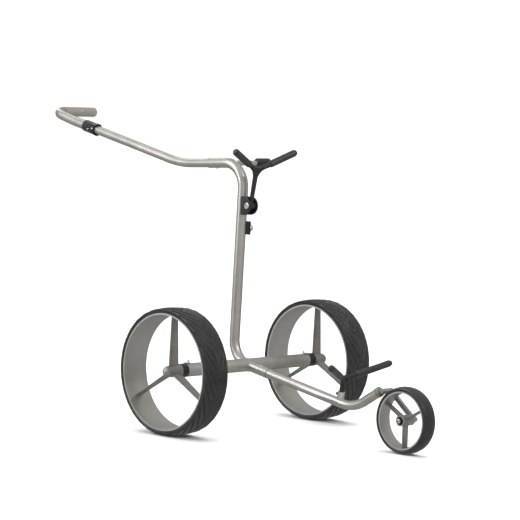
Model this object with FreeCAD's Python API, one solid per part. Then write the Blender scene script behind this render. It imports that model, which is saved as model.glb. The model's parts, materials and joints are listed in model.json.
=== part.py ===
"""Three-wheel golf push cart: bent tube frame, two rear wheels, a front wheel on a one-sided fork,
two folding bag brackets and a telescopic L-shaped handle. Millimetres, +Z up, +X forward."""
import FreeCAD, Part
import math
import os

Vec = FreeCAD.Vector
os.makedirs("parts", exist_ok=True)

# ---------------------------------------------------------------- driving dimensions
# wheels
REAR_R = 150.0
REAR_WIDTH = 70.5
TRACK = 485.0
WHEELBASE = 511.0
FRONT_R = 76.3
FRONT_WIDTH = 34.6

# frame tubes: 25 mm tube that a 22 mm tube plugs into, and a 32 mm axle tube
TUBE_R = 12.5
PLUG_TUBE_R = 11.0
TUBE_WALL = 1.4
SLIP = 0.08
MOUTH_LIP = 0.4
AXLE_TUBE_R = 16.0
AXLE_TUBE_WALL = 1.75
AXLE_TUBE_HALF = 206.0

# spine: top arm, upright and front stub, angles in degrees
TOP_CORNER_X = -28.9
TOP_CORNER_Z = 638.3
TOP_ARM_LENGTH = 121.2
TOP_ARM_SLOPE = 2.18
TOP_BEND_R = 59.0
UPRIGHT_LEAN = 2.31
LOWER_BEND_R = 60.0
STUB_DROP = 10.44
STUB_LENGTH = 74.2
PLUG_DEPTH = 52.0

# handle
HANDLE_RUN = 106.0
HANDLE_BEND_R = 315.0
HANDLE_SLOPE = 13.18
CLAMP_REACH = 351.0
HANDLE_END = 400.0
CROOK_KINK_REACH = 430.0
CROOK_KINK = 2.5
CROOK_KINK_R = 200.0
CROOK_RUN = 81.0
CROOK_BEND_R = 38.0
GRIP_TILT = 0.3
GRIP_SEAM = 81.5
GRIP_LENGTH = 141.0

# front tube and fork
FRONT_RUN = 358.7
FRONT_BEND_R = 100.0
FRONT_RISE = 31.3
FRONT_RISE_RUN = 85.0

# bag brackets: hinge of the upper one, sockets and arm tips, measured from the rear axle line
HINGE_X = -4.0
HINGE_Z = 535.0
UPPER_FORK = (12.0, 620.0)
UPPER_TIP = (42.0, 100.0, 665.0)
LOWER_FOOT_RUN = 313.0
LOWER_STEM = 56.4
LOWER_TIP = (371.0, 100.0, 186.0)

# clearances between pieces that move on each other
RUNNING = 0.05
GAP = 0.35

X = Vec(1, 0, 0)
Y = Vec(0, 1, 0)
Z = Vec(0, 0, 1)


# ---------------------------------------------------------------- helpers
def heading(degrees):
    """Unit vector in the side plane, turned up from +X."""
    return Vec(math.cos(math.radians(degrees)), 0, math.sin(math.radians(degrees)))


def cylinder(radius, start, direction, length):
    return Part.makeCylinder(radius, length, start, direction)


def ring(outer, inner, start, direction, length):
    return cylinder(outer, start, direction, length).cut(cylinder(inner, start, direction, length))


def bent_route(corners, radii):
    """Straight runs joined by tangent arcs, one radius for each inner corner."""
    edges = []
    start = corners[0]
    for i, radius in enumerate(radii, start=1):
        back = (corners[i - 1] - corners[i]).normalize()
        ahead = (corners[i + 1] - corners[i]).normalize()
        half = back.getAngle(ahead) / 2
        reach = radius / math.tan(half)
        inward = (back + ahead).normalize()
        middle = corners[i] + inward * (radius / math.sin(half) - radius)
        edges.append(Part.LineSegment(start, corners[i] + back * reach).toShape())
        edges.append(Part.Arc(corners[i] + back * reach, middle, corners[i] + ahead * reach).toShape())
        start = corners[i] + ahead * reach
    edges.append(Part.LineSegment(start, corners[-1]).toShape())
    return Part.Wire(edges)


def rod(route, radius):
    first = route.Edges[0]
    start = first.valueAt(first.FirstParameter)
    tangent = first.tangentAt(first.FirstParameter)
    section = Part.Wire(Part.makeCircle(radius, start, tangent))
    return route.makePipeShell([section], True, False)


def bent_tube(corners, radii, outer, inner):
    route = bent_route(corners, radii)
    return rod(route, outer).cut(rod(route, inner))


def turned(profile, centre):
    """Solid of revolution about the Y line through centre, from a closed outline of (radius, y)."""
    edges = []
    points = [Vec(r, y, 0) for r, y in profile]
    for a, b in zip(points, points[1:] + points[:1]):
        edges.append(Part.LineSegment(a, b).toShape())
    solid = Part.Face(Part.Wire(edges)).revolve(Vec(0, 0, 0), Y, 360)
    solid.translate(centre)
    return solid


def placed(shape, origin, x_axis, z_axis):
    """Moves a shape drawn about the origin so that its X and Z axes lie along the given ones."""
    y_axis = z_axis.cross(x_axis)
    turn = FreeCAD.Rotation(x_axis, y_axis, z_axis, "ZXY")
    copy = shape.copy()
    copy.Placement = FreeCAD.Placement(origin, turn)
    return copy


def meet(point_a, dir_a, point_b, dir_b):
    """Where two lines in the side plane cross."""
    gap = point_b - point_a
    t = (gap.x * dir_b.z - gap.z * dir_b.x) / (dir_a.x * dir_b.z - dir_a.z * dir_b.x)
    return point_a + dir_a * t


def crown(radius, drop, half_width, steps=8):
    """Points of a tyre's tread from one shoulder to the other, radius at the middle."""
    return [(radius - drop * (1 - 2 * i / steps) ** 2, -half_width + 2 * half_width * i / steps)
            for i in range(steps + 1)]


def button_head(radius, thickness, at, outward, socket_r, round_r):
    """Round screw head standing on `at`, with a recessed drive."""
    head = cylinder(radius, at, outward, thickness)
    top = at + outward * thickness
    rim_edges = [e for e in head.Edges if e.Length > 1 and (e.CenterOfMass - top).Length < 0.01]
    head = head.makeFillet(round_r, rim_edges)
    return head.cut(cylinder(socket_r, top - outward * (thickness * 0.6), outward, thickness))


# ---------------------------------------------------------------- where the tubes run
axle = Vec(0, 0, REAR_R)
front_axle = Vec(WHEELBASE, 0, FRONT_R)
top_corner = Vec(TOP_CORNER_X, 0, TOP_CORNER_Z)
stub_dir = heading(-STUB_DROP)
top_arm_dir = heading(180 + TOP_ARM_SLOPE)
handle_dir = heading(180 - HANDLE_SLOPE)
front_rise_dir = heading(FRONT_RISE)
upright_dir = heading(90 - UPRIGHT_LEAN)
lower_corner = meet(top_corner, upright_dir, axle, stub_dir)
handle_mouth = top_corner + top_arm_dir * TOP_ARM_LENGTH
stub_mouth = axle + stub_dir * STUB_LENGTH
handle_corner = handle_mouth + top_arm_dir * HANDLE_RUN
crook_kink = handle_corner + handle_dir * CROOK_KINK_REACH
crook_dir = heading(180 - HANDLE_SLOPE - CROOK_KINK)
crook_corner = crook_kink + crook_dir * CROOK_RUN
grip_dir = Vec(0, math.cos(math.radians(GRIP_TILT)), math.sin(math.radians(GRIP_TILT)))
front_corner = axle + stub_dir * FRONT_RUN
front_tube_end = front_corner + front_rise_dir * FRONT_RISE_RUN

# origin on the floor under the middle of the overall box
FRONT_MOST = WHEELBASE + FRONT_R
REAR_MOST = crook_corner.x - TUBE_R
SHIFT = Vec(-(FRONT_MOST + REAR_MOST) / 2, 0, 0)

built = {}


def node(name, shape):
    moved = shape.copy()
    moved.translate(SHIFT)
    moved.exportStep("parts/%s.step" % name)
    built[name] = moved


# ---------------------------------------------------------------- spine, handle tube, front tube
BORE_R = PLUG_TUBE_R + SLIP
PLUG_BORE_R = PLUG_TUBE_R - TUBE_WALL
BUTTON_R = 3.2
BUTTON_SETBACK = 26.0
BUTTON_TOP = TUBE_R + 1.6
spine_route = bent_route([handle_mouth, top_corner, lower_corner, stub_mouth], [TOP_BEND_R, LOWER_BEND_R])
spine_solid = rod(spine_route, TUBE_R)
handle_button_at = handle_mouth - top_arm_dir * BUTTON_SETBACK
handle_button_dir = top_arm_dir.cross(Y)
front_button_at = stub_mouth - stub_dir * BUTTON_SETBACK
front_button_dir = stub_dir.cross(Y)


def button_hole(at, outward, radius):
    return cylinder(radius, at, outward, TUBE_R + 5)


def spine_tube():
    tube = spine_solid.cut(rod(spine_route, BORE_R))
    for mouth, outward in ((handle_mouth, top_arm_dir), (stub_mouth, stub_dir)):
        tube = tube.fuse(ring(TUBE_R + MOUTH_LIP, BORE_R, mouth - outward * 2, outward, 2))
    for at, outward in ((handle_button_at, handle_button_dir), (front_button_at, front_button_dir)):
        tube = tube.cut(button_hole(at, outward, BUTTON_R + GAP))
    return tube.removeSplitter()


def handle_tube():
    inner_end = handle_mouth - top_arm_dir * PLUG_DEPTH
    outer_end = handle_corner + handle_dir * HANDLE_END
    tube = bent_tube([inner_end, handle_corner, outer_end], [HANDLE_BEND_R], PLUG_TUBE_R, PLUG_BORE_R)
    return tube.cut(button_hole(handle_button_at, handle_button_dir, BUTTON_R + 2 * RUNNING))


def front_tube():
    inner_end = stub_mouth - stub_dir * PLUG_DEPTH
    tube = bent_tube([inner_end, front_corner, front_tube_end], [FRONT_BEND_R], PLUG_TUBE_R, PLUG_BORE_R)
    return tube.cut(button_hole(front_button_at, front_button_dir, BUTTON_R + 2 * RUNNING))


node("spine_tube", spine_tube())
node("handle_tube", handle_tube())
node("front_tube", front_tube())


# ---------------------------------------------------------------- snap buttons and their leaf springs
BUTTON_FLANGE_R = 4.6
BUTTON_FLANGE_Z = 7.2
SPRING_WIDTH = 7.0
SPRING_LENGTH = 38.0


def snap_button():
    """Domed stud with a flange that stays inside the inner tube, drawn with its axis along +Z."""
    flange = cylinder(BUTTON_FLANGE_R, Z * BUTTON_FLANGE_Z, Z, 1)
    stud = cylinder(BUTTON_R, Z * BUTTON_FLANGE_Z, Z, BUTTON_TOP - BUTTON_FLANGE_Z)
    top = [e for e in stud.Edges if e.Vertexes[0].Z > BUTTON_TOP - 0.01 and len(e.Vertexes) == 1]
    return stud.makeFillet(1.2, top).fuse(flange)


def leaf_spring():
    """Strip bent to a V that pushes the button out from the tube's far wall."""
    outline = [(-5, BUTTON_FLANGE_Z), (5, BUTTON_FLANGE_Z), (SPRING_LENGTH, 0.9), (SPRING_LENGTH, -0.9),
               (-5, -8.8), (-5, -8.2), (SPRING_LENGTH - 1, -0.5), (SPRING_LENGTH - 1, 0.5),
               (4.8, BUTTON_FLANGE_Z - 0.6), (-5, BUTTON_FLANGE_Z - 0.6)]
    points = [Vec(x, -SPRING_WIDTH / 2, z) for x, z in outline]
    return Part.Face(Part.makePolygon(points + points[:1])).extrude(Y * SPRING_WIDTH)


for name, at, outward, along in (("handle", handle_button_at, handle_button_dir, top_arm_dir),
                                 ("front", front_button_at, front_button_dir, stub_dir)):
    node(name + "_snap_button", placed(snap_button(), at, along, outward))
    node(name + "_leaf_spring", placed(leaf_spring(), at, along, outward))


# ---------------------------------------------------------------- axle tube and its two ends
AXLE_R = 6.0
AXLE_END = 262.5
COUPLER_R = 16.3
COUPLER_FACE = 225.0
COUPLER_DEPTH = 42.0
HUB_FACE = 225.5
HUB_END = 262.0
PIN_Y = 196.0
PIN_R = 2.0
PIN_FLANGE_R = 3.8
PIN_FLOOR = 7.0
PIN_TOP = 24.0
LEVER_SIZE = (9.0, 18.0, 1.4)
SPRING_TURNS = 3
GROOVE_R = 4.3
CLIP_Y = 259.8


def axle_tube():
    half = AXLE_TUBE_HALF
    tube = ring(AXLE_TUBE_R, AXLE_TUBE_R - AXLE_TUBE_WALL, axle - Y * half, Y, 2 * half)
    for side in (-1, 1):
        tube = tube.cut(cylinder(PIN_R + 0.3, axle + Y * (side * PIN_Y), Z, AXLE_TUBE_R + 2))
    return tube.cut(spine_solid)


def coupler(side):
    """Plug in the tube's end that holds the wheel axle, with the well of the release pin."""
    out = Y * side
    inner_r = AXLE_TUBE_R - AXLE_TUBE_WALL
    body = cylinder(inner_r, axle + out * (AXLE_TUBE_HALF - COUPLER_DEPTH), out, COUPLER_DEPTH)
    body = body.fuse(cylinder(COUPLER_R, axle + out * AXLE_TUBE_HALF, out, COUPLER_FACE - AXLE_TUBE_HALF))
    body = body.cut(cylinder(AXLE_R, axle, out, COUPLER_FACE + 5))
    at = axle + out * PIN_Y
    body = body.cut(cylinder(PIN_R + 2 * RUNNING, at, Z, inner_r + 2))
    return body.cut(cylinder(PIN_FLANGE_R + 0.4, at + Z * PIN_FLOOR, Z, inner_r))


def wheel_axle(side):
    out = Y * side
    inner_end = AXLE_TUBE_HALF - COUPLER_DEPTH - 8
    shaft = cylinder(AXLE_R, axle + out * inner_end, out, AXLE_END - inner_end)
    shaft = shaft.cut(ring(AXLE_R + 1, GROOVE_R, axle + out * (PIN_Y - 3), out, 6))
    return shaft.cut(ring(AXLE_R + 1, AXLE_R - 0.6, axle + out * CLIP_Y, out, 1.1))


def release_pin(side):
    """Lift pin that locks the wheel axle: flange at its foot, head above the lever."""
    at = axle + Y * (side * PIN_Y)
    foot = GROOVE_R + 0.2
    shank = cylinder(PIN_R, at + Z * foot, Z, PIN_TOP - foot)
    flange = cylinder(PIN_FLANGE_R, at + Z * (PIN_FLOOR + 0.1), Z, 1)
    tip = [e for e in shank.Edges if e.Vertexes[0].Z > at.z + PIN_TOP - 0.01 and len(e.Vertexes) == 1]
    return shank.makeFillet(1.2, tip).fuse(flange)


def release_lever(side):
    """Thin finger lever that lies on the axle tube, from the coupler to the pin."""
    width, length, thickness = LEVER_SIZE
    corner = axle + Vec(-width / 2, PIN_Y - width / 2, COUPLER_R + GAP)
    plate = Part.makeBox(width, length, thickness, corner)
    upright_edges = [e for e in plate.Edges if abs(e.tangentAt(0).z) > 0.9]
    plate = plate.makeFillet(3.4, upright_edges)
    if side < 0:
        plate = plate.mirror(Vec(0, 0, 0), Y)
    return plate.cut(cylinder(PIN_R, axle + Y * (side * PIN_Y), Z, 40))


def pin_spring(side):
    """Coils of the spring between the pin's flange and the tube wall."""
    wire_r = 0.4
    low = PIN_FLOOR + 1.15 + wire_r
    high = AXLE_TUBE_R - AXLE_TUBE_WALL - 0.6 - wire_r
    coils = []
    for i in range(SPRING_TURNS):
        height = low + (high - low) * i / (SPRING_TURNS - 1)
        coils.append(Part.makeTorus(PIN_R + 1.1, wire_r, axle + Vec(0, side * PIN_Y, height), Z))
    return Part.makeCompound(coils)


node("axle_tube", axle_tube())
for hand, side in (("right", -1), ("left", 1)):
    node("axle_coupler_" + hand, coupler(side))
    node("wheel_axle_" + hand, wheel_axle(side))
    node("release_pin_" + hand, release_pin(side))
    node("release_lever_" + hand, release_lever(side))
    node("release_spring_" + hand, pin_spring(side))
clips = [ring(8.4, AXLE_R - 0.6, axle + Y * (side * (CLIP_Y + 0.05)), Y * side, 1) for side in (-1, 1)]
node("axle_clips", Part.makeCompound(clips))


# ---------------------------------------------------------------- rear wheels
RIM_INNER_R = 134.0
RIM_OUTER_R = 136.0
RIM_LIP_R = 137.6
LIP_WIDTH = 1.5
BEARING_R = 10.5
BEARING_WIDTH = 5.0
BEARING_OFFSETS = (225.7, 254.4)
SPOKE_ANGLES = (90, 210, 330)
HUB_R = 16.5
NOSE_R = 13.0


def tyre(inner_r, lip_r, outer_r, half, shoulder):
    """Closed outline of a solid tyre that sits between the rim's two lips."""
    tread = crown(outer_r, shoulder, half - 1.3)
    inset = half - LIP_WIDTH
    bead = [(outer_r - shoulder - 1.5, half), (lip_r, half), (lip_r, inset), (inner_r, inset)]
    outline = tread + bead + [(r, -y) for r, y in reversed(bead)]
    return outline


def rim(inner_r, outer_r, lip_r, half):
    inset = half - LIP_WIDTH
    side = [(inner_r, half), (lip_r, half), (lip_r, inset), (outer_r, inset)]
    return side + [(r, -y) for r, y in reversed(side)]


def blade(centre, angle, root_r, tip_r, root_size, tip_size):
    """Lens-shaped spoke, broad across the wheel, tapering from hub to rim."""
    out = heading(angle)
    sections = []
    for radius, (breadth, thickness) in ((root_r, root_size), (tip_r, tip_size)):
        oval = Part.Ellipse(Vec(0, 0, 0), breadth / 2, thickness / 2).toShape()
        sections.append(placed(Part.Wire(oval), centre + out * radius, Y, out))
    return Part.makeLoft(sections, True, True)


def spider(centre, hub, angles, inner_r, root_r, root_size, tip_size):
    """Hub and its three spokes in one casting, cut off where they meet the rim."""
    body = hub
    for angle in angles:
        body = body.fuse(blade(centre, angle, root_r, inner_r + 3, root_size, tip_size))
    reach = cylinder(inner_r, centre - Y * 60, Y, 120)
    return body.common(reach)


def rear_hub(side):
    out = Y * side
    return Part.makeCone(HUB_R, NOSE_R, HUB_END - HUB_FACE, axle + out * HUB_FACE, out)


def rear_hub_bore(side):
    out = Y * side
    bore = cylinder(8.5, axle + out * 220, out, 50)
    inner_seat = (HUB_FACE - 1, BEARING_OFFSETS[0] + BEARING_WIDTH)
    outer_seat = (BEARING_OFFSETS[1], HUB_END + 1)
    for near, far in (inner_seat, outer_seat):
        bore = bore.fuse(cylinder(BEARING_R, axle + out * near, out, far - near))
    return bore


def nose(side):
    out = Y * side
    centre = axle + out * (HUB_END - 2.2)
    beyond_hub = cylinder(20, axle + out * HUB_END, out, 20)
    cap = Part.makeSphere(NOSE_R - 0.2, centre).common(beyond_hub)
    cap = cap.fuse(cylinder(BEARING_R, axle + out * (HUB_END - 2), out, 3))
    hollow = Part.makeSphere(NOSE_R - 2.8, centre).common(beyond_hub)
    return cap.cut(hollow).cut(cylinder(9.2, axle + out * (HUB_END - 3), out, 5))


def bearing_pair(centre, outward, offsets, outer, inner, width):
    rings = [ring(outer, inner, centre + outward * y, outward, width) for y in offsets]
    return Part.makeCompound(rings)


for hand, side in (("right", -1), ("left", 1)):
    centre = axle + Y * (side * TRACK / 2)
    half = REAR_WIDTH / 2
    body = spider(centre, rear_hub(side), SPOKE_ANGLES, RIM_INNER_R, 12, (31, 8), (20, 5))
    node("tyre_" + hand, turned(tyre(RIM_OUTER_R, RIM_LIP_R, REAR_R, half, 2.0), centre))
    node("rim_" + hand, turned(rim(RIM_INNER_R, RIM_OUTER_R, RIM_LIP_R, half), centre))
    node("wheel_spider_" + hand, body.cut(rear_hub_bore(side)))
    node("hub_nose_" + hand, nose(side))
    node("wheel_bearings_" + hand, bearing_pair(axle, Y * side, BEARING_OFFSETS, BEARING_R,
                                                AXLE_R + RUNNING, BEARING_WIDTH))


# ---------------------------------------------------------------- front wheel
FRONT_RIM_R = 62.8
FRONT_AXLE_R = 4.0
FRONT_HUB_R = 12.4
FRONT_HUB_HALF = 19.0
FRONT_BEARING_R = 9.6
FRONT_BEARING_WIDTH = 7.0
FRONT_BEARING_SEAT = 9.0
FRONT_SPOKES = (30, 150, 270)


def front_wheel():
    half = FRONT_WIDTH / 2
    node("front_tyre", turned(tyre(64.8, 66.0, FRONT_R, half, 1.9), front_axle))
    node("front_rim", turned(rim(FRONT_RIM_R, 64.8, 66.0, half), front_axle))
    hub = cylinder(FRONT_HUB_R, front_axle - Y * FRONT_HUB_HALF, Y, 2 * FRONT_HUB_HALF)
    body = spider(front_axle, hub, FRONT_SPOKES, FRONT_RIM_R, 8, (20, 6), (19, 4.5))
    body = body.cut(cylinder(8, front_axle - Y * 25, Y, 50))
    for out in (Y, Y * -1):
        body = body.cut(cylinder(FRONT_BEARING_R, front_axle + out * FRONT_BEARING_SEAT, out, 10))
    node("front_spider", body)
    seats = (-FRONT_BEARING_SEAT - FRONT_BEARING_WIDTH, FRONT_BEARING_SEAT)
    node("front_bearings", bearing_pair(front_axle, Y, seats, FRONT_BEARING_R, FRONT_AXLE_R + RUNNING,
                                        FRONT_BEARING_WIDTH))


front_wheel()


# ---------------------------------------------------------------- fork
FORK_INNER_Y = 23.0
FORK_OUTER_Y = 31.0
FORK_SLAB_R = (87.0, 95.0)
FORK_SLAB_WIDTH = 10.0
FORK_ANGLE = 140.5
FORK_BAR = 10.5
FORK_FOOT_R = 6.5
BOLT_HEAD_Y = 19.3


def fork_arm():
    """End cap of the front tube, cross slab over the tyre and one leg down to the axle."""
    cap = cylinder(12.0, front_tube_end, front_rise_dir, 9)
    cap = cap.makeFillet(2.5, [cap.Edges[0]])
    spigot = cylinder(PLUG_BORE_R, front_tube_end - front_rise_dir * 26, front_rise_dir, 27)
    neck = cylinder(4.8, front_tube_end + front_rise_dir * 7, X, 11)
    inner_r, outer_r = FORK_SLAB_R
    out = heading(FORK_ANGLE)
    slab = Part.makeBox(FORK_SLAB_WIDTH, FORK_OUTER_Y + 5, outer_r - inner_r, Vec(-FORK_SLAB_WIDTH / 2, -5, 0))
    slab = placed(slab, front_axle + out * inner_r, Y.cross(out), out)
    thickness = FORK_OUTER_Y - FORK_INNER_Y
    hub = front_axle + Y * FORK_INNER_Y
    knee = hub + out * (outer_r - FORK_BAR / 2)
    foot = cylinder(FORK_FOOT_R, hub, Y, thickness)
    shoulder = cylinder(FORK_BAR / 2, knee, Y, thickness)
    across = out.cross(Y) * (FORK_BAR / 2)
    corners = [hub + across, knee + across, knee - across, hub - across]
    leg = Part.Face(Part.makePolygon(corners + corners[:1])).extrude(Y * thickness)
    body = slab.multiFuse([foot, shoulder, leg, cap, spigot, neck])
    body = body.cut(cylinder(FRONT_R + 3, front_axle - Y * 30, Y, 30 + FORK_INNER_Y))
    return body.cut(cylinder(FRONT_AXLE_R, front_axle, Y, 60)).removeSplitter()


def front_axle_bolt():
    end = front_axle - Y * BOLT_HEAD_Y
    shank = cylinder(FRONT_AXLE_R, end, Y, BOLT_HEAD_Y + FORK_OUTER_Y + 3)
    return shank.fuse(button_head(5.5, 6.4, end, Y * -1, 2.4, 1.4))


def axle_nut():
    points = [front_axle + heading(60 * i) * 6.3 + Y * FORK_OUTER_Y for i in range(6)]
    nut = Part.Face(Part.makePolygon(points + points[:1])).extrude(Y * 4.5)
    return nut.cut(cylinder(FRONT_AXLE_R, front_axle, Y, 60))


node("fork_arm", fork_arm())
node("front_axle_bolt", front_axle_bolt())
node("front_axle_nut", axle_nut())
SPACER_Y = FRONT_HUB_HALF + GAP
node("front_axle_spacer", ring(6.0, FRONT_AXLE_R, front_axle + Y * SPACER_Y, Y, FORK_INNER_Y - SPACER_Y))


# ---------------------------------------------------------------- hinge of the upper bracket
HINGE = Vec(HINGE_X, 0, HINGE_Z)
BLOCK_HALF = 14.5
CHEEK_INNER = 9.5
BLOCK_ARC_R = 22.0
BLOCK_ARC_X = -14.0
BLOCK_BACK_X = -25.0
SLOT_FLOOR_X = -13.6
PIVOT_R = 5.0
EYE_R = 9.0
EYE_HALF = 9.1


def hinge_block():
    """Saddle on the upright with two D-shaped cheeks; the bracket's eye turns between them."""
    centre = Vec(BLOCK_ARC_X, -BLOCK_HALF, HINGE_Z)
    body = cylinder(BLOCK_ARC_R, centre, Y, 2 * BLOCK_HALF)
    heel = Part.makeBox(BLOCK_ARC_X - BLOCK_BACK_X, 2 * BLOCK_HALF, 2 * BLOCK_ARC_R,
                        Vec(BLOCK_BACK_X, -BLOCK_HALF, HINGE_Z - BLOCK_ARC_R))
    keep = Part.makeBox(60, 60, 60, Vec(BLOCK_BACK_X, -30, HINGE_Z - 30))
    body = body.fuse(heel).common(keep).removeSplitter()
    rims = [e for e in body.Edges if abs(abs(e.CenterOfMass.y) - BLOCK_HALF) < 0.01]
    body = body.makeFillet(1.5, rims)
    slot = Part.makeBox(40, 2 * CHEEK_INNER, 60, Vec(SLOT_FLOOR_X, -CHEEK_INNER, HINGE_Z - 30))
    body = body.cut(slot).cut(spine_solid)
    body = body.cut(cylinder(PIVOT_R, HINGE - Y * 30, Y, 60))
    for start, out in ((HINGE - Y * BLOCK_HALF, Y), (HINGE + Y * BLOCK_HALF, Y * -1)):
        body = body.cut(cylinder(9.8, start, out, 2.5))
    return body


def hinge_bolt():
    seat = BLOCK_HALF - 2.5
    shank = cylinder(PIVOT_R, HINGE - Y * seat, Y, seat + CHEEK_INNER + 1.5)
    thread = cylinder(3.5, HINGE, Y, seat + 2.2)
    return shank.fuse(thread).fuse(button_head(8.0, 3.4, HINGE - Y * seat, Y * -1, 2.6, 1.6))


def hinge_nut():
    seat = BLOCK_HALF - 2.5
    head = button_head(8.0, 3.4, HINGE + Y * seat, Y, 2.6, 1.6)
    return head.cut(cylinder(3.5, HINGE, Y, seat + 2.2))


def block_screws():
    """Two countersunk screws in the floor of the slot hold the block on the upright."""
    screws = []
    for dz in (-14, 14):
        at = Vec(SLOT_FLOOR_X, 0, HINGE_Z + dz)
        head = Part.makeCone(4.0, 2.0, 2.4, at, X * -1)
        screws.append(head.fuse(cylinder(2.0, at, X * -1, 10)))
    return Part.makeCompound(screws)


screws = block_screws()
node("hinge_block", hinge_block().cut(screws))
node("block_screws", screws.cut(spine_solid))
node("hinge_bolt", hinge_bolt())
node("hinge_nut", hinge_nut())


# ---------------------------------------------------------------- stop pad on the upright
PAD_Z = 481.0
PAD_TURN = 45.0
PAD_SIZE = (16.0, 8.5, 32.0)
PAD_FACE = 23.9
PAD_SCREW_R = 2.5
pad_centre = meet(top_corner, upright_dir, Vec(0, 0, PAD_Z), X)
pad_out = Vec(math.cos(math.radians(PAD_TURN)), math.sin(math.radians(PAD_TURN)), 0)


def stop_pad():
    """Rubber buffer block on the upright, turned outwards from the centre plane."""
    depth, width, height = PAD_SIZE
    pad = Part.makeBox(depth, width, height, Vec(PAD_FACE - depth, -width / 2, -height / 2))
    face_edges = [e for e in pad.Edges if e.BoundBox.XMin > PAD_FACE - 0.01]
    pad = pad.makeFillet(2.2, face_edges).cut(cylinder(PAD_SCREW_R, Vec(0, 0, 0), X, 40))
    return placed(pad, pad_centre, pad_out, upright_dir).cut(spine_solid)


def stop_screw():
    dome = Part.makeSphere(9.0, X * (PAD_FACE - 3.2)).common(cylinder(12, X * PAD_FACE, X, 12))
    screw = dome.fuse(cylinder(PAD_SCREW_R, X * (PAD_FACE - 14), X, 14.5))
    return placed(screw, pad_centre, pad_out, upright_dir).cut(spine_solid)


node("stop_pad", stop_pad())
node("stop_screw", stop_screw())


# ---------------------------------------------------------------- bag brackets
def web(fork, tip, reach, thickness):
    """Plate that fills the crotch between the two arms."""
    right = Vec(tip.x, -tip.y, tip.z) - fork
    left = tip - fork
    a = fork + right.normalize() * reach
    b = fork + left.normalize() * reach
    normal = (a - fork).cross(b - fork).normalize()
    points = [p - normal * (thickness / 2) for p in (fork, a, b)]
    return Part.Face(Part.makePolygon(points + points[:1])).extrude(normal * thickness)


BRACKET_SPLIT = 26.0


def yoke(foot, fork, tip, arm_r, foot_r, bend_r):
    """Y-shaped fork: a stem that widens from its foot, then two bent arms with a web between them."""
    stem = fork - foot
    along = Vec(stem).normalize()
    split = foot + along * (stem.Length - BRACKET_SPLIT)
    body = Part.makeCone(foot_r, arm_r, stem.Length - BRACKET_SPLIT + 0.5, foot, along)
    for side in (-1, 1):
        end = Vec(tip.x, side * tip.y, tip.z)
        arm = rod(bent_route([split, fork, end], [bend_r]), arm_r)
        own_half = Part.makeBox(400, 200, 400, fork - Vec(200, 100 - 100 * side, 200))
        body = body.fuse(arm.common(own_half))
    return body.fuse(web(fork, tip, 25, 8))


def sleeve(fork, end, start, radius, bore):
    along = (end - fork).normalize()
    length = (end - fork).Length
    body = cylinder(radius, fork + along * start, along, length - start)
    body = body.makeFillet(1.8, [e for e in body.Edges if len(e.Vertexes) == 1])
    return body.cut(cylinder(bore, fork, along, 200))


def end_nub(fork, end, radius):
    along = (end - fork).normalize()
    collar = cylinder(radius, end, along, 4.5)
    tip = end + along * 4.5
    rounded = [e for e in collar.Edges if (e.CenterOfMass - tip).Length < 0.01 and e.Length > 1]
    return collar.makeFillet(2.4, rounded)


def bracket_soft_parts(prefix, fork, tip, start, radius, bore):
    nubs = []
    for hand, side in (("right", -1), ("left", 1)):
        end = Vec(tip.x, side * tip.y, tip.z)
        node("%s_sleeve_%s" % (prefix, hand), sleeve(fork, end, start, radius, bore))
        nubs.append(end_nub(fork, end, radius - 2.2))
    node("%s_nubs" % prefix, Part.makeCompound(nubs))


UPPER_ARM_R = 5.8
UPPER_EYE_STEM_R = 4.9


def upper_bracket():
    fork = Vec(UPPER_FORK[0], 0, UPPER_FORK[1])
    tip = Vec(*UPPER_TIP)
    body = yoke(HINGE, fork, tip, UPPER_ARM_R, UPPER_EYE_STEM_R, 34)
    body = body.fuse(cylinder(EYE_R, HINGE - Y * EYE_HALF, Y, 2 * EYE_HALF))
    body = body.cut(cylinder(PIVOT_R + RUNNING, HINGE - Y * 20, Y, 40))
    node("upper_yoke", body)
    bracket_soft_parts("upper", fork, tip, 40, 8.5, UPPER_ARM_R)


upper_bracket()

LOWER_ARM_R = 5.8
SOCKET_R = 8.4
SOCKET_BORE_R = 6.4
SOCKET_TOP = 27.0
KNOB_DROP = 8.0
stem_dir = stub_dir.cross(Y)
lower_foot = axle + stub_dir * LOWER_FOOT_RUN
lower_fork = lower_foot + stem_dir * LOWER_STEM
lower_tip = Vec(*LOWER_TIP)
knob_dir = stem_dir.cross(Y)
knob_at = lower_foot + stem_dir * (SOCKET_TOP - KNOB_DROP)
front_route = bent_route([stub_mouth - stub_dir * PLUG_DEPTH, front_corner, front_tube_end],
                         [FRONT_BEND_R])
front_solid = rod(front_route, PLUG_TUBE_R)


def lower_socket():
    body = ring(SOCKET_R, SOCKET_BORE_R, lower_foot, stem_dir, SOCKET_TOP)
    body = body.cut(cylinder(1.8, knob_at, knob_dir, 20))
    return body.cut(front_solid)


def lower_knob():
    """Small thumb screw on the socket's rear, which clamps the bracket's stem."""
    shank = cylinder(1.8, knob_at + knob_dir * (SOCKET_BORE_R + 0.3), knob_dir, 4)
    head = cylinder(3.6, knob_at + knob_dir * (SOCKET_R + 0.6), knob_dir, 5)
    head = head.makeFillet(1.0, [e for e in head.Edges if len(e.Vertexes) == 1])
    return shank.fuse(head)


def lower_bracket():
    top = lower_foot + stem_dir * (SOCKET_TOP + GAP)
    body = yoke(top, lower_fork, lower_tip, LOWER_ARM_R, 6.3, 27)
    body = body.fuse(cylinder(SOCKET_BORE_R - 2 * RUNNING, top - stem_dir * 14, stem_dir, 15))
    node("lower_yoke", body)
    bracket_soft_parts("lower", lower_fork, lower_tip, 33, 7.9, LOWER_ARM_R)


node("lower_socket", lower_socket())
node("lower_knob", lower_knob())
lower_bracket()


# ---------------------------------------------------------------- accessory post
POST_X = -60.0
POST_Z = 636.5
POST_R = 6.2
POST_CAP_R = 12.2
POST_CAP_Y = (72.0, 114.0)


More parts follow.
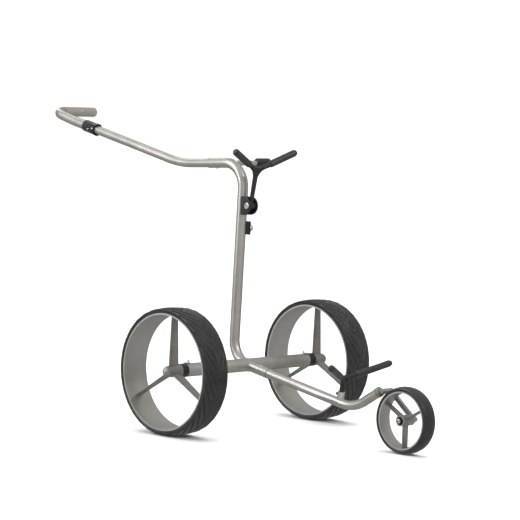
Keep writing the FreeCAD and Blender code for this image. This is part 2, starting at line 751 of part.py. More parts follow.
def accessory_post():
    return cylinder(POST_R, Vec(POST_X, 0, POST_Z), Y, POST_CAP_Y[0] + 20).cut(spine_solid)


def accessory_cap():
    start, stop = POST_CAP_Y
    body = cylinder(POST_CAP_R, Vec(POST_X, start, POST_Z), Y, stop - start)
    body = body.makeFillet(3.5, [e for e in body.Edges if len(e.Vertexes) == 1])
    return body.cut(cylinder(POST_R, Vec(POST_X, 0, POST_Z), Y, start + 20))


node("accessory_post", accessory_post())
node("accessory_cap", accessory_cap())


# ---------------------------------------------------------------- clamp collar, crook and grip
clamp_centre = handle_corner + handle_dir * CLAMP_REACH
COLLAR_HALF = 24.0
COLLAR_R = 15.0
COLLAR_FLARE_R = 16.0
COLLAR_STEP = -3.0
MOUTH_R = 22.0
MOUTH_CUT = 4.5
BOSS_SIZE = (25.0, 6.0, 13.0)
BOSS_CENTRE = -11.0
BOSS_FACE_Y = -17.4
SCREW_PLACES = ((-3.5, -2.9), (-19.5, 2.9))
handle_up = Y.cross(handle_dir)


def clamp_screw_places():
    return [clamp_centre + handle_dir * along + handle_up * up for along, up in SCREW_PLACES]


def clamp_collar():
    """Split collar: the rear half grips the crook, the front half the handle tube."""
    start = clamp_centre - handle_dir * COLLAR_HALF
    body = cylinder(COLLAR_R, start, handle_dir, 2 * COLLAR_HALF)
    flare = Part.makeCone(COLLAR_FLARE_R, COLLAR_R, 16, start, handle_dir)
    length, depth, height = BOSS_SIZE
    boss = Part.makeBox(length, depth, height, Vec(BOSS_CENTRE - length / 2, BOSS_FACE_Y, -height / 2))
    boss = boss.makeFillet(1.6, boss.Edges)
    body = body.fuse(flare).fuse(placed(boss, clamp_centre, handle_dir, handle_up * -1))
    body = body.cut(cylinder(PLUG_TUBE_R + RUNNING, start - handle_dir * 5, handle_dir, 100))
    step_at = clamp_centre + handle_dir * COLLAR_STEP
    body = body.cut(cylinder(TUBE_R + RUNNING, step_at, handle_dir, 60))
    mouth_centre = start - handle_dir * (MOUTH_R - MOUTH_CUT)
    return body.cut(cylinder(MOUTH_R, mouth_centre - Y * 40, Y, 80))


def clamp_screws():
    heads = []
    for at in clamp_screw_places():
        face = at + Y * BOSS_FACE_Y
        heads.append(button_head(2.8, 2.0, face, Y * -1, 1.1, 0.7).fuse(cylinder(1.6, face, Y, 2.5)))
    return Part.makeCompound(heads)


seam = crook_corner + grip_dir * GRIP_SEAM


def crook_tube():
    front = clamp_centre + handle_dir * (COLLAR_STEP + GAP)
    corners = [front, crook_kink, crook_corner, seam]
    return bent_tube(corners, [CROOK_KINK_R, CROOK_BEND_R], TUBE_R, BORE_R)


def grip_rivet():
    out = Vec(1, 0, 0.18).normalize()
    at = seam + grip_dir * 4.5 + out * (TUBE_R - 4)
    return Part.makeSphere(4.2, at + out * 1.2).common(cylinder(2.6, at, out, 12))


def grip_end():
    """Plug-in end of the grip, with a domed tip and a spigot inside the crook."""
    length = GRIP_LENGTH - GRIP_SEAM
    body = cylinder(TUBE_R, seam, grip_dir, length)
    tip = [e for e in body.Edges if len(e.Vertexes) == 1 and e.CenterOfMass.y > seam.y + length / 2]
    body = body.makeFillet(5.5, tip)
    body = body.fuse(cylinder(BORE_R, seam - grip_dir * 22, grip_dir, 23))
    body = body.cut(cylinder(BORE_R - 2.2, seam - grip_dir * 23, grip_dir, 19 + length))
    return body.cut(grip_rivet())


collar = clamp_collar()
screws = clamp_screws()
node("clamp_collar", collar.cut(screws))
node("clamp_screws", screws)
node("crook_tube", crook_tube())
node("grip_end", grip_end())
node("grip_rivet", grip_rivet())


# ---------------------------------------------------------------- summary
whole = Part.makeCompound(list(built.values())).optimalBoundingBox(False)
print("%d nodes, X %.1f..%.1f  Y %.1f..%.1f  Z %.1f..%.1f" % (
    len(built), whole.XMin, whole.XMax, whole.YMin, whole.YMax, whole.ZMin, whole.ZMax))
for name, shape in built.items():
    if not shape.isValid():
        print("not valid:", name)
    if shape.Volume <= 0:
        print("no volume:", name)
print("rear axle at", tuple(round(c, 3) for c in (axle + SHIFT)))
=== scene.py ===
# %% [markdown]
# # A three-wheel golf push cart
# This lesson dresses a finished CAD model: bent metal tubes, three wheels, two folding bag
# brackets and a sideways grip. The CAD gives the size and place of every part. We add what it
# leaves out: tyre tread, weld beads, surface finishes, light and a camera. The tread, the beads
# and the finishes have no size in the CAD, so their numbers are chosen.

# %% Load the imported model
import json
import math
import bpy
from mathutils import Matrix, Vector


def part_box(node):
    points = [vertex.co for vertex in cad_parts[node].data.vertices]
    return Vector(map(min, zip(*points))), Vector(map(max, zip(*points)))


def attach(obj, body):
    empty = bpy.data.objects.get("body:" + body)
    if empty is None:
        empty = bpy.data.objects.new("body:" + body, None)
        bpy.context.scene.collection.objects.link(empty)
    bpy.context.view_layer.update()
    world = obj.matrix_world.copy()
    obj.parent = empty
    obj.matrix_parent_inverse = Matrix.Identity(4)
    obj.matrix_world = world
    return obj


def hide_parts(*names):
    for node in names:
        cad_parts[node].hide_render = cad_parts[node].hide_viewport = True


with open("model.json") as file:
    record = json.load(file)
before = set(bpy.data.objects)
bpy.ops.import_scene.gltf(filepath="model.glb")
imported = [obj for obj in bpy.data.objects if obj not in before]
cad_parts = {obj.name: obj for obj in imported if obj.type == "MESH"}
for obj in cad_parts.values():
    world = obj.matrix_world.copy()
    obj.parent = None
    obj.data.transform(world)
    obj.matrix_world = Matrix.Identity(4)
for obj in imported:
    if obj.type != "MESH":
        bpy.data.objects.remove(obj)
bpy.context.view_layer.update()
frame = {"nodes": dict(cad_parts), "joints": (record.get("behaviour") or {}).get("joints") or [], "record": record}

nodes = frame["nodes"]
joints = {joint["name"]: joint for joint in frame["joints"]}
print("CAD nodes:", len(nodes), "joints:", len(joints))

# %% [markdown]
# The rear axle line is the natural place to measure from: the weld seams and the camera are
# placed from it. The joints know where it is, so we read it there.

# %% Where the wheels turn
wheel_centres = {
    "wheel_right": Vector(joints["wheel_right_spin"]["pos_m"]),
    "wheel_left": Vector(joints["wheel_left_spin"]["pos_m"]),
    "front_wheel": Vector(joints["front_wheel_spin"]["pos_m"]),
}
axle = (wheel_centres["wheel_right"] + wheel_centres["wheel_left"]) / 2
stem_dir = Vector(joints["lower_bracket_turn"]["axis"])
stub_dir = Vector((stem_dir.z, 0, -stem_dir.x))
handle_dir = Vector(joints["handle_slide"]["axis"])
print("rear axle at", [round(c, 4) for c in axle])

# %% [markdown]
# ## A small language for shader nodes
# Node materials are graphs, but their maths reads best as ordinary expressions. The class
# below wraps one socket: `a * 2 + 1` adds the two Math nodes and wires them. The recipe
# object makes every other node from its type, its settings and its inputs.

# %% Sockets that do arithmetic
class Value:
    def __init__(self, recipe, socket):
        self.recipe = recipe
        self.socket = socket

    def math(self, operation, *others):
        inputs = {0: self}
        for number, other in enumerate(others, start=1):
            inputs[number] = other
        return self.recipe.node("ShaderNodeMath", {"operation": operation}, inputs)

    def __add__(self, other):
        return self.math("ADD", other)

    def __sub__(self, other):
        return self.math("SUBTRACT", other)

    def __mul__(self, other):
        return self.math("MULTIPLY", other)

    def __rsub__(self, other):
        return (self * -1) + other

    __radd__ = __add__
    __rmul__ = __mul__

    def smooth(self, low, high):
        """0 below low, 1 above high, with a soft step between."""
        settings = {"interpolation_type": "SMOOTHSTEP"}
        inputs = {"Value": self, "From Min": low, "From Max": high}
        return self.recipe.node("ShaderNodeMapRange", settings, inputs)


# %% Graphs: any node tree, and the one of a material
class Graph:
    def node(self, kind, settings=None, inputs=None, output=0):
        made = self.tree.nodes.new(kind)
        for key, value in (settings or {}).items():
            setattr(made, key, value)
        for key, value in (inputs or {}).items():
            self.feed(made.inputs[key], value)
        return Value(self, made.outputs[output])

    def feed(self, socket, value):
        if isinstance(value, Value):
            self.tree.links.new(value.socket, socket)
        else:
            socket.default_value = value


class Recipe(Graph):
    def __init__(self, name):
        self.material = bpy.data.materials.new(name)
        self.material.use_nodes = True
        self.tree = self.material.node_tree
        self.shader = self.tree.nodes["Principled BSDF"]

    def surface(self, **inputs):
        for name, value in inputs.items():
            self.feed(self.shader.inputs[name.replace("_", " ")], value)
        return self.material

    def place(self, scale=(1, 1, 1), turn=(0, 0, 0)):
        """Object coordinates, stretched and turned to suit a grain."""
        coords = self.node("ShaderNodeTexCoord", output="Object")
        return self.node("ShaderNodeMapping", {}, {"Vector": coords, "Scale": scale, "Rotation": turn})

    def noise(self, vector, scale, detail=3.0, roughness=0.55):
        inputs = {"Vector": vector, "Scale": scale, "Detail": detail, "Roughness": roughness}
        return self.node("ShaderNodeTexNoise", {}, inputs)

    def blend(self, factor, dark, light):
        """Colour between dark and light."""
        made = self.tree.nodes.new("ShaderNodeMix")
        made.data_type = "RGBA"
        by_id = {socket.identifier: socket for socket in made.inputs}
        self.feed(by_id["Factor_Float"], factor)
        self.feed(by_id["A_Color"], (*dark, 1))
        self.feed(by_id["B_Color"], (*light, 1))
        return Value(self, [socket for socket in made.outputs if socket.identifier == "Result_Color"][0])

    def bump(self, height, strength, distance):
        return self.node("ShaderNodeBump", {}, {"Height": height, "Strength": strength, "Distance": distance})


print("recipe helpers ready")

# %% [markdown]
# ## Brushed tube
# The frame is metal tube, brushed by a belt that runs round it, so the fine lines circle the
# tube and only show as a soft streak in the highlights. A noise texture squeezed along the
# tube's own direction draws such rings. Each straight run has a direction of its own, so the
# recipe takes one. A second, broad noise keeps the tone from being even.

# %% Satin tube metal
def aligned_turn(direction):
    """Rotation that lays a texture's X axis along a direction in the side plane."""
    return (0, math.atan2(direction.z, direction.x), 0)


def tube_metal(name, direction, dark, light, shine):
    recipe = Recipe(name)
    along = recipe.place(scale=(1, 0.05, 0.05), turn=aligned_turn(direction))
    rings = recipe.noise(along, 1400, detail=2)
    cloud = recipe.noise(recipe.place(), 22, detail=4)
    tone = cloud * 0.65 + rings * 0.35
    recipe.surface(
        Base_Color=recipe.blend(tone.smooth(0.3, 0.7), dark, light),
        Roughness=(rings * 0.12 + cloud * 0.08 + shine).smooth(-0.33, 0.72),
        Metallic=0.96,
        Normal=recipe.bump(rings, 0.03, 0.0002),
    )
    return recipe.material


# The upright leans forward by about 2.3 degrees.
UPRIGHT_DIR = Vector((0.0403, 0, 0.9992))
TUBE_DARK = (0.40, 0.383, 0.36)
TUBE_LIGHT = (0.48, 0.462, 0.437)
SOCKET_DARK = (0.5, 0.49, 0.47)
SOCKET_LIGHT = (0.66, 0.65, 0.63)
own_finishes = {
    "spine_tube": tube_metal("upright_tube_metal", UPRIGHT_DIR, TUBE_DARK, TUBE_LIGHT, 0.0),
    "handle_tube": tube_metal("handle_tube_metal", handle_dir, TUBE_DARK, TUBE_LIGHT, 0.0),
    "front_tube": tube_metal("front_tube_metal", stub_dir, TUBE_DARK, TUBE_LIGHT, 0.0),
    "crook_tube": tube_metal("crook_tube_metal", handle_dir, TUBE_DARK, TUBE_LIGHT, 0.0),
    "lower_socket": tube_metal("socket_metal", stem_dir, SOCKET_DARK, SOCKET_LIGHT, -0.08),
}
print("tube finishes:", sorted(own_finishes))

# %% [markdown]
# The axle tube, the grip's end and the accessory post run across the cart, and the rims turn
# about lines across it. Their rings circle the Y axis, so the squeezed direction is Y.

# %% Cross tubes
def cross_metal(name, dark, light, ring_scale, shine, metallic=0.92):
    recipe = Recipe(name)
    across = recipe.place(scale=(0.05, 1, 0.05))
    rings = recipe.noise(across, ring_scale, detail=2)
    cloud = recipe.noise(recipe.place(), 18, detail=4)
    recipe.surface(
        Base_Color=recipe.blend((cloud * 0.6 + rings * 0.4).smooth(0.3, 0.7), dark, light),
        Roughness=(rings * 0.12 + cloud * 0.10 + shine).smooth(-0.25, 0.75),
        Metallic=metallic,
        Normal=recipe.bump(rings, 0.05, 0.0004),
    )
    return recipe.material


AXLE_DARK = (0.37, 0.354, 0.333)
AXLE_LIGHT = (0.45, 0.433, 0.41)
RIM_DARK = (0.37, 0.357, 0.337)
RIM_LIGHT = (0.43, 0.416, 0.394)
axle_metal = cross_metal("axle_tube_metal", AXLE_DARK, AXLE_LIGHT, 1300, 0.08)
rim_metal = cross_metal("rim_alloy", RIM_DARK, RIM_LIGHT, 1700, 0.10, metallic=0.86)
own_finishes["axle_tube"] = axle_metal
own_finishes["grip_end"] = cross_metal("grip_tube_metal", TUBE_DARK, TUBE_LIGHT, 1400, 0.0)
own_finishes["accessory_post"] = own_finishes["grip_end"]
for name in ("rim_right", "rim_left", "front_rim"):
    own_finishes[name] = rim_metal
print("finishes so far:", len(own_finishes))

# %% [markdown]
# ## Cast spokes
# The spokes, hubs and fork are cast alloy under a thin warm-grey satin coat. A casting has no
# brushed lines. It has a faint orange-peel and small changes of tone, which two noises give.

# %% Cast satin alloy
def cast_alloy():
    recipe = Recipe("cast_satin_alloy")
    peel = recipe.noise(recipe.place(), 520, detail=3)
    cloud = recipe.noise(recipe.place(), 30, detail=4)
    recipe.surface(
        Base_Color=recipe.blend(cloud.smooth(0.3, 0.7), (0.23, 0.218, 0.205), (0.30, 0.285, 0.268)),
        Roughness=(cloud * 0.2 + peel * 0.1 + 0.12).smooth(-0.2, 0.8),
        Metallic=0.72,
        Normal=recipe.bump(peel, 0.16, 0.0005),
    )
    return recipe.material


cast_metal = cast_alloy()
print("cast finish:", cast_metal.name)

# %% [markdown]
# ## Rubber and plastic
# Tyres, sleeves and brackets are all nearly black, but not alike. Tyre rubber is a little
# glossy with fine dust in its grain. Sleeve rubber is matt. Moulded plastic has an even
# spark-eroded grain that breaks up the highlight. One recipe covers them all.

# %% Dark mouldings
def dark_moulding(name, dark, light, grain, grain_depth, rough):
    recipe = Recipe(name)
    fine = recipe.noise(recipe.place(), grain, detail=4)
    patch = recipe.noise(recipe.place(), 26, detail=5)
    recipe.surface(
        Base_Color=recipe.blend((patch * 0.7 + fine * 0.3).smooth(0.32, 0.7), dark, light),
        Roughness=(patch * 0.22 + fine * 0.12 + rough - 0.17).smooth(0.0, 1.0),
        Specular_IOR_Level=0.35,
        Normal=recipe.bump(fine, 0.25, grain_depth),
    )
    return recipe.material


tyre_rubber = dark_moulding(
    "tyre_rubber", (0.012, 0.012, 0.012), (0.021, 0.021, 0.0205), 700, 0.0003, 0.36)
sleeve_rubber = dark_moulding(
    "sleeve_rubber", (0.018, 0.018, 0.0185), (0.030, 0.030, 0.031), 950, 0.0004, 0.40)
bracket_plastic = dark_moulding(
    "bracket_plastic", (0.008, 0.008, 0.0085), (0.015, 0.015, 0.016), 1500, 0.0003, 0.38)
pad_rubber = dark_moulding(
    "buffer_rubber", (0.008, 0.008, 0.008), (0.016, 0.016, 0.0165), 800, 0.0004, 0.55)
print("dark finishes:", [m.name for m in (tyre_rubber, sleeve_rubber, bracket_plastic, pad_rubber)])

# %% [markdown]
# ## Bright fasteners
# Bolts, pins and springs are plated steel: paler and smoother than the tubes. Light scratches
# from a spanner are long thin noise, and they change the gloss more than the colour.

# %% Plated steel
def plated_steel():
    recipe = Recipe("plated_steel")
    scratches = recipe.noise(recipe.place(scale=(1, 0.12, 0.3)), 1600, detail=2)
    cloud = recipe.noise(recipe.place(), 60, detail=3)
    recipe.surface(
        Base_Color=recipe.blend(cloud.smooth(0.3, 0.7), (0.56, 0.55, 0.53), (0.74, 0.73, 0.71)),
        Roughness=(scratches * 0.22 + cloud * 0.1).smooth(-0.1, 0.9),
        Metallic=1.0,
        Normal=recipe.bump(scratches, 0.08, 0.0003),
    )
    return recipe.material


bright_steel = plated_steel()
print("fastener finish:", bright_steel.name)

# %% [markdown]
# Every CAD node takes the finish of its slot, unless it has one of its own above. All of them
# keep their CAD shape except the tyres, which are made again further down.

# %% Dress the CAD nodes
slot_finishes = {
    "spoke_alloy": cast_metal,
    "tyre_rubber": tyre_rubber,
    "black_plastic": bracket_plastic,
    "soft_rubber": sleeve_rubber,
    "bright_steel": bright_steel,
}
slot_of = {part["node"]: part["material_slot"] for part in frame["record"]["subparts"]}
own_finishes["stop_pad"] = pad_rubber
own_finishes["front_bearings"] = pad_rubber
for name, piece in nodes.items():
    finish = own_finishes.get(name) or slot_finishes[slot_of[name]]
    if not piece.material_slots:
        piece.data.materials.append(finish)
    for material_slot in piece.material_slots:
        material_slot.material = finish
print("dressed", len(nodes), "nodes")

# %% [markdown]
# ## Rules: geometry that follows a formula
# A tyre's tread repeats round the wheel and a weld bead ripples along a seam. Modelling them
# by hand would be slow and stiff, so each gets a Geometry Nodes tree with named inputs. The
# result is turned into a plain mesh, because instances and live trees don't travel well.

# %% A geometry tree and how it is applied
class Rule(Graph):
    def __init__(self, name, inputs):
        self.tree = bpy.data.node_groups.new(name, "GeometryNodeTree")
        add = self.tree.interface.new_socket
        add(name="Geometry", in_out="INPUT", socket_type="NodeSocketGeometry")
        add(name="Geometry", in_out="OUTPUT", socket_type="NodeSocketGeometry")
        for label, kind in inputs.items():
            add(name=label, in_out="INPUT", socket_type="NodeSocket" + kind)
        self.source = self.tree.nodes.new("NodeGroupInput")
        self.result = self.tree.nodes.new("NodeGroupOutput")

    def given(self, label):
        return Value(self, self.source.outputs[label])

    def finish(self, geometry):
        """Smooth shading, real geometry and a material end every tree."""
        smooth = self.node("GeometryNodeSetShadeSmooth", {}, {"Geometry": geometry})
        real = self.node("GeometryNodeRealizeInstances", {}, {"Geometry": smooth})
        inputs = {"Geometry": real, "Material": self.given("Material")}
        dressed = self.node("GeometryNodeSetMaterial", {}, inputs)
        self.tree.links.new(dressed.socket, self.result.inputs[0])

    def apply(self, source, name, values):
        """A new plain mesh object, made by this rule from the source object."""
        modifier = source.modifiers.new(self.tree.name, "NODES")
        modifier.node_group = self.tree
        for item in self.tree.interface.items_tree:
            if item.in_out == "INPUT" and item.name in values:
                modifier[item.identifier] = values[item.name]
        evaluated = source.evaluated_get(bpy.context.evaluated_depsgraph_get())
        mesh = bpy.data.meshes.new_from_object(evaluated)
        piece = bpy.data.objects.new(name, mesh)
        bpy.context.scene.collection.objects.link(piece)
        bpy.data.objects.remove(source)
        print(name, "has", len(mesh.polygons), "faces")
        return piece


print("geometry rules ready")

# %% [markdown]
# ## Tyres
# The rear tyres carry a leaf tread. Curved grooves sweep from both shoulders to the middle,
# the two halves are staggered by half a pitch, and a thin wavy groove parts them. We spin a
# smooth blank first, dense across the tread, and let a rule press the grooves into it.

# %% Tyre blanks
def ring_mesh(name, outline, centre, steps):
    """Closed ring: an outline of (radius, y) carried round the Y line through centre."""
    verts = []
    faces = []
    count = len(outline)
    for i in range(steps):
        angle = 2 * math.pi * i / steps
        for radius, y in outline:
            verts.append(centre + Vector((radius * math.cos(angle), y, radius * math.sin(angle))))
        for j in range(count):
            k = (j + 1) % count
            n = (i + 1) % steps
            faces.append((i * count + j, i * count + k, n * count + k, n * count + j))
    mesh = bpy.data.meshes.new(name)
    mesh.from_pydata(verts, [], faces)
    piece = bpy.data.objects.new(name, mesh)
    bpy.context.scene.collection.objects.link(piece)
    return piece


def tyre_outline(radius, drop, half, lip_radius, inner_radius, across):
    """Tyre section: crowned tread, rounded shoulders, side faces and the seat on the rim."""
    shoulder = 0.0016
    tread_half = half - shoulder
    side = half - 0.0015

    def shoulder_point(step, hand):
        turn = math.pi / 2 * step / 5
        y = tread_half + shoulder * math.sin(turn)
        return (radius - drop - shoulder * (1 - math.cos(turn)), hand * y)

    points = []
    for i in range(across + 1):
        v = -1 + 2 * i / across
        points.append((radius - drop * v * v, v * tread_half))
    for i in range(1, 5):
        points.append(shoulder_point(i, 1))
    points += [(radius - drop - 0.003, half), (lip_radius + 0.0008, half), (lip_radius, half - 0.0006)]
    points += [(lip_radius, side), (inner_radius, side), (inner_radius, -side), (lip_radius, -side)]
    points += [(lip_radius, 0.0006 - half), (lip_radius + 0.0008, -half), (radius - drop - 0.003, -half)]
    for i in range(4, 0, -1):
        points.append(shoulder_point(i, -1))
    return points


REAR_RADIUS = axle.z
REAR_CROWN = 0.002
REAR_LIP_RADIUS = 0.1376
REAR_SEAT_RADIUS = 0.136
FRONT_CROWN = 0.0024
FRONT_LIP_RADIUS = 0.066
FRONT_SEAT_RADIUS = 0.0648
REAR_ACROSS = 56
REAR_AROUND = 880
FRONT_ACROSS = 36
FRONT_AROUND = 288
print("rear tyre radius", round(REAR_RADIUS, 4))

# %% [markdown]
# The rule works in the wheel's own polar coordinates: the angle round the axle and how far
# across the tread a point lies. A groove's phase grows with the angle and falls towards the
# shoulders, which bends it into a leaf. Each leaf also slopes down across its pitch, as a roof
# tile does. Only points on the tread move, and only inwards.

# %% Tread rule
LEAF_BEND = 1.25
STAGGER = 0.5
GROOVE_WIDTH = 0.09
LEAF_SLOPE = 0.45
WAVE_HEIGHT = 0.06
MIDDLE_WIDTH = 0.055
TREAD_BAND = (-0.0035, -0.0022)


def tread_rule():
    rule = Rule("leaf_tread", {
        "Centre": "Vector", "Half Width": "Float", "Radius": "Float", "Grooves": "Float",
        "Sweep": "Float", "Depth": "Float", "Material": "Material"})
    position = rule.node("GeometryNodeInputPosition")
    from_centre = {0: position, 1: rule.given("Centre")}
    local = rule.node("ShaderNodeVectorMath", {"operation": "SUBTRACT"}, from_centre)
    split = rule.node("ShaderNodeSeparateXYZ", {}, {0: local})
    x, y, z = [Value(rule, socket) for socket in split.socket.node.outputs]
    radius = (x * x + z * z).math("SQRT")
    v = y.math("DIVIDE", rule.given("Half Width"))
    reach = v.math("ABSOLUTE")
    side = v.math("GREATER_THAN", 0.0)
    turns = z.math("ARCTAN2", x) * (1 / (2 * math.pi))
    curve = reach.math("POWER", LEAF_BEND) * rule.given("Sweep")
    phase = (turns - curve) * rule.given("Grooves") + side * STAGGER
    place_in_pitch = phase.math("FRACT")
    groove = 1 - (place_in_pitch - 0.5).math("ABSOLUTE").smooth(0.0, GROOVE_WIDTH)
    wave = ((turns * rule.given("Grooves")) * (2 * math.pi)).math("SINE") * WAVE_HEIGHT
    middle = 1 - (v + wave).math("ABSOLUTE").smooth(0.0, MIDDLE_WIDTH)
    ramp = (place_in_pitch + 0.5).math("FRACT") * LEAF_SLOPE
    cut = (groove + ramp).math("MAXIMUM", middle)
    tread = (radius - rule.given("Radius")).smooth(*TREAD_BAND)
    depth = cut * tread * rule.given("Depth") * -1
    outward = rule.node("ShaderNodeCombineXYZ", {}, {"X": x, "Z": z})
    unit = rule.node("ShaderNodeVectorMath", {"operation": "NORMALIZE"}, {0: outward})
    offset = rule.node("ShaderNodeVectorMath", {"operation": "SCALE"}, {0: unit, "Scale": depth})
    pressed = rule.node("GeometryNodeSetPosition", {}, {"Geometry": rule.given("Geometry"), "Offset": offset})
    rule.finish(pressed)
    return rule


leaf_tread = tread_rule()
print("tread rule nodes:", len(leaf_tread.tree.nodes))

# %% Rear tyres
for hand in ("right", "left"):
    body = "wheel_" + hand
    tyre_low, tyre_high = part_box("tyre_" + hand)
    half = (tyre_high[1] - tyre_low[1]) / 2
    outline = tyre_outline(
        REAR_RADIUS, REAR_CROWN, half, REAR_LIP_RADIUS, REAR_SEAT_RADIUS, REAR_ACROSS)
    blank = ring_mesh("tyre_blank", outline, wheel_centres[body], REAR_AROUND)
    tyre = leaf_tread.apply(blank, "rear_tyre_" + hand, {
        "Centre": wheel_centres[body], "Half Width": half, "Radius": REAR_RADIUS, "Grooves": 30.0,
        "Sweep": 0.074, "Depth": 0.0032, "Material": tyre_rubber})
    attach(tyre, body)
    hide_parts("tyre_" + hand)

# %% [markdown]
# The front tyre is a plain solid one with a smooth crown. It uses the same kind of section and
# the same rule, with no grooves and no depth.

# %% Front tyre
tyre_low, tyre_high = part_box("front_tyre")
front_radius = wheel_centres["front_wheel"].z
half = (tyre_high[1] - tyre_low[1]) / 2
outline = tyre_outline(
    front_radius, FRONT_CROWN, half, FRONT_LIP_RADIUS, FRONT_SEAT_RADIUS, FRONT_ACROSS)
blank = ring_mesh("front_tyre_blank", outline, wheel_centres["front_wheel"], FRONT_AROUND)
front_tyre = leaf_tread.apply(blank, "front_tyre_moulded", {
    "Centre": wheel_centres["front_wheel"], "Half Width": half, "Radius": front_radius, "Grooves": 0.0,
    "Sweep": 0.0, "Depth": 0.0, "Material": tyre_rubber})
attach(front_tyre, "front_wheel")
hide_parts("front_tyre")

# %% [markdown]
# ## Weld beads
# The stub and the upright pass through the axle tube and are welded round both crossings, and
# the bracket's socket is welded to the front tube. A weld is a row of overlapping puddles, so
# the rule sweeps a small circle along the seam and swells it in a steady rhythm.

# %% Bead rule
def bead_rule():
    rule = Rule("weld_bead", {
        "Bead Radius": "Float", "Ripple": "Float", "Pitch": "Float", "Material": "Material"})
    line = rule.node("GeometryNodeResampleCurve", {}, {"Curve": rule.given("Geometry"), "Count": 240})
    along = rule.node("GeometryNodeSplineParameter", output="Length")
    rhythm = (along.math("DIVIDE", rule.given("Pitch")) * (2 * math.pi)).math("SINE")
    swell = 1 + rhythm * rule.given("Ripple")
    round_section = {"Resolution": 12, "Radius": rule.given("Bead Radius")}
    section = rule.node("GeometryNodeCurvePrimitiveCircle", {}, round_section)
    sized = rule.node("GeometryNodeSetCurveRadius", {}, {"Curve": line, "Radius": swell})
    inputs = {"Curve": sized, "Profile Curve": section, "Scale": swell}
    swept = rule.node("GeometryNodeCurveToMesh", {}, inputs)
    rule.finish(swept)
    return rule


weld_bead = bead_rule()
print("bead rule nodes:", len(weld_bead.tree.nodes))


def seam_curve(points):
    data = bpy.data.curves.new("seam", "CURVE")
    data.dimensions = "3D"
    spline = data.splines.new("POLY")
    spline.points.add(len(points) - 1)
    for spot, point in zip(spline.points, points):
        spot.co = (*point, 1)
    spline.use_cyclic_u = True
    seam = bpy.data.objects.new("seam", data)
    bpy.context.scene.collection.objects.link(seam)
    return seam


def circle_steps(count=96):
    return [2 * math.pi * i / count for i in range(count)]


# %% [markdown]
# A seam is the line where two round surfaces cross. Each function walks once round the smaller
# tube and finds how far along it the surface of the bigger one is met.

# %% Where the seams run
Y = Vector((0, 1, 0))
TUBE_R = 0.0125
AXLE_TUBE_R = 0.016
PLUG_R = 0.011
SOCKET_R = 0.0084
BEND_R = 0.060
BEND_START = 0.00295


def stub_seam():
    points = []
    for turn in circle_steps():
        up = TUBE_R * math.sin(turn)
        forward = math.sqrt(AXLE_TUBE_R ** 2 - up ** 2)
        points.append(axle + stub_dir * forward + Y * (TUBE_R * math.cos(turn)) + stem_dir * up)
    return points


def bend_seam():
    """The upright's lower bend enters the axle tube from behind and above."""
    pivot = axle + stub_dir * BEND_START + stem_dir * BEND_R
    points = []
    for turn in circle_steps():
        for step in range(10, 900):
            back = math.radians(step / 10)
            normal = stem_dir * math.cos(back) + stub_dir * math.sin(back)
            spot = pivot - normal * (BEND_R - TUBE_R * math.sin(turn)) + Y * (TUBE_R * math.cos(turn))
            if math.hypot(spot.x - axle.x, spot.z - axle.z) >= AXLE_TUBE_R:
                break
        points.append(spot)
    return points


def socket_seam():
    foot = Vector(joints["lower_bracket_turn"]["pos_m"])
    points = []
    for turn in circle_steps():
        side = SOCKET_R * math.cos(turn)
        rise = math.sqrt(PLUG_R ** 2 - side ** 2)
        points.append(foot + stem_dir * rise + Y * side + stub_dir * (SOCKET_R * math.sin(turn)))
    return points


seams = (
    ("stub_weld", stub_seam(), 0.0017),
    ("bend_weld", bend_seam(), 0.0017),
    ("socket_weld", socket_seam(), 0.0012),
)
for name, points, size in seams:
    bead = weld_bead.apply(seam_curve(points), name, {
        "Bead Radius": size, "Ripple": 0.16, "Pitch": 0.0019, "Material": axle_metal})
    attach(bead, "chassis")

# %% [markdown]
# ## Floor, light and camera
# A pale floor and an even room suit satin metal, but metal needs something darker to mirror or
# it looks like chalk. So the white that is seen behind the cart and the room that the metal
# mirrors are two different things. The floor and the ceiling light are kept out of reflections.

# %% Floor
def pale_floor():
    recipe = Recipe("pale_floor")
    speckle = recipe.noise(recipe.place(), 3, detail=2)
    tone = recipe.blend(speckle, (0.95, 0.95, 0.95), (0.97, 0.97, 0.97))
    return recipe.surface(Base_Color=tone, Roughness=0.5)


mesh = bpy.data.meshes.new("floor")
mesh.from_pydata([(-40, -40, 0), (40, -40, 0), (40, 40, 0), (-40, 40, 0)], [], [(0, 1, 2, 3)])
mesh.materials.append(pale_floor())
floor = bpy.data.objects.new("floor", mesh)
bpy.context.scene.collection.objects.link(floor)
floor.visible_glossy = False

# %% Room
class Room(Graph):
    def __init__(self):
        world = bpy.data.worlds.new("studio")
        world.use_nodes = True
        bpy.context.scene.world = world
        self.tree = world.node_tree
        self.shader = self.tree.nodes["Background"]
        self.shader.inputs["Color"].default_value = (1.0, 0.995, 0.985, 1)


room = Room()
direction = room.node("ShaderNodeTexCoord", output="Generated")


def facing(axis):
    """How far a direction points along an axis, from -1 to 1."""
    settings = {"operation": "DOT_PRODUCT"}
    return room.node("ShaderNodeVectorMath", settings, {0: direction, 1: axis}, output="Value")


# The air behind the cart is seen as plain white. What the metal mirrors is a dimmer room, lighter
# overhead and ahead of the cart, and darker behind it as seen from the camera.
seen = room.node("ShaderNodeLightPath", output="Is Camera Ray")
DIM_ROOM = 0.50
SEEN_WHITE = 1.04
overhead = facing((0, 0, 1)).smooth(0.0, 1.0)
behind = facing((-0.69, 0.72, 0)).smooth(0.2, 1.0)
ahead = facing((0.97, -0.24, 0)).smooth(0.1, 1.0)
dim = DIM_ROOM + overhead * 0.35 - behind * 0.20 + ahead * 0.22
room.feed(room.shader.inputs["Strength"], dim + seen * (SEEN_WHITE - dim))
print("room nodes:", len(room.tree.nodes))

# %% [markdown]
# A tall softbox on the cart's right, behind it, is the main lamp. Two weaker ones shine from
# behind on the left and from ahead. A wide ceiling light gives the soft shadow.

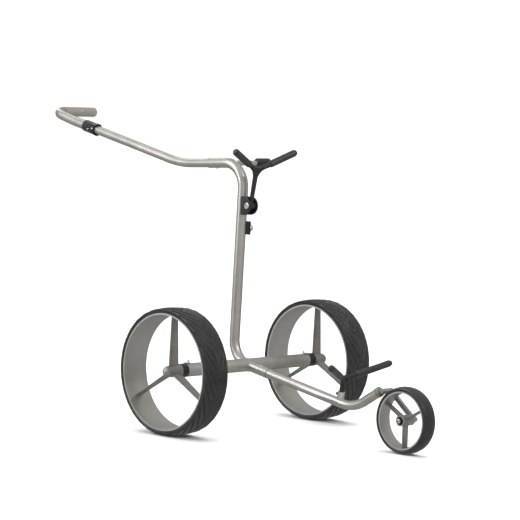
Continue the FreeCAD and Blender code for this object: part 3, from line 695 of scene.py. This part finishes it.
# %% Lamps
def lamp(name, place, target, size, power):
    data = bpy.data.lights.new(name, "AREA")
    data.shape = "RECTANGLE"
    data.size, data.size_y = size
    data.energy = power
    light = bpy.data.objects.new(name, data)
    aim = (Vector(target) - Vector(place)).to_track_quat("-Z", "Y")
    light.matrix_world = Matrix.Translation(place) @ aim.to_matrix().to_4x4()
    bpy.context.scene.collection.objects.link(light)


lamp("key_softbox", place=(-1.7, -2.9, 2.0), target=(-0.1, 0, 0.5), size=(0.7, 3.2), power=85)
lamp("rear_softbox", place=(-3.0, 1.0, 2.6), target=(0, 0, 0.3), size=(0.8, 2.0), power=14)
lamp("front_softbox", place=(3.0, 0.3, 2.4), target=(0.1, 0, 0.2), size=(0.5, 0.5), power=22)
sky = bpy.data.lights.new("ceiling", "SUN")
sky.energy = 2.3
sky.angle = math.radians(60)
ceiling = bpy.data.objects.new("ceiling", sky)
ceiling.visible_glossy = False
ceiling.rotation_euler = (math.radians(-12), math.radians(-10), 0)
bpy.context.scene.collection.objects.link(ceiling)
bpy.context.scene.view_settings.view_transform = "Standard"

# %% [markdown]
# The camera stands level with the grip, on the cart's right and ahead of it, with a long
# lens. Long lenses keep the three wheels' ellipses alike, which flatters a long object.

# %% Camera
def camera_at(place, azimuth, elevation, roll, lens):
    a = math.radians(azimuth)
    e = math.radians(elevation)
    back = Vector((math.sin(a) * math.cos(e), -math.cos(a) * math.cos(e), math.sin(e)))
    right = (-back).cross(Vector((0, 0, 1))).normalized()
    up = right.cross(-back)
    c = math.cos(math.radians(roll))
    s = math.sin(math.radians(roll))
    data = bpy.data.cameras.new("camera")
    data.lens = lens
    data.clip_end = 100
    camera = bpy.data.objects.new("camera", data)
    turned = Matrix((right * c + up * s, up * c - right * s, back)).transposed()
    camera.matrix_world = Matrix.Translation(place) @ turned.to_4x4()
    bpy.context.scene.collection.objects.link(camera)
    bpy.context.scene.camera = camera


camera_place = Vector((axle.x + 3.6319, -3.6048, 0.7379))
camera_at(camera_place, azimuth=44.95, elevation=3.72, roll=1.65, lens=147.18)
bpy.context.view_layer.update()
print("camera at", [round(c, 3) for c in camera_place])
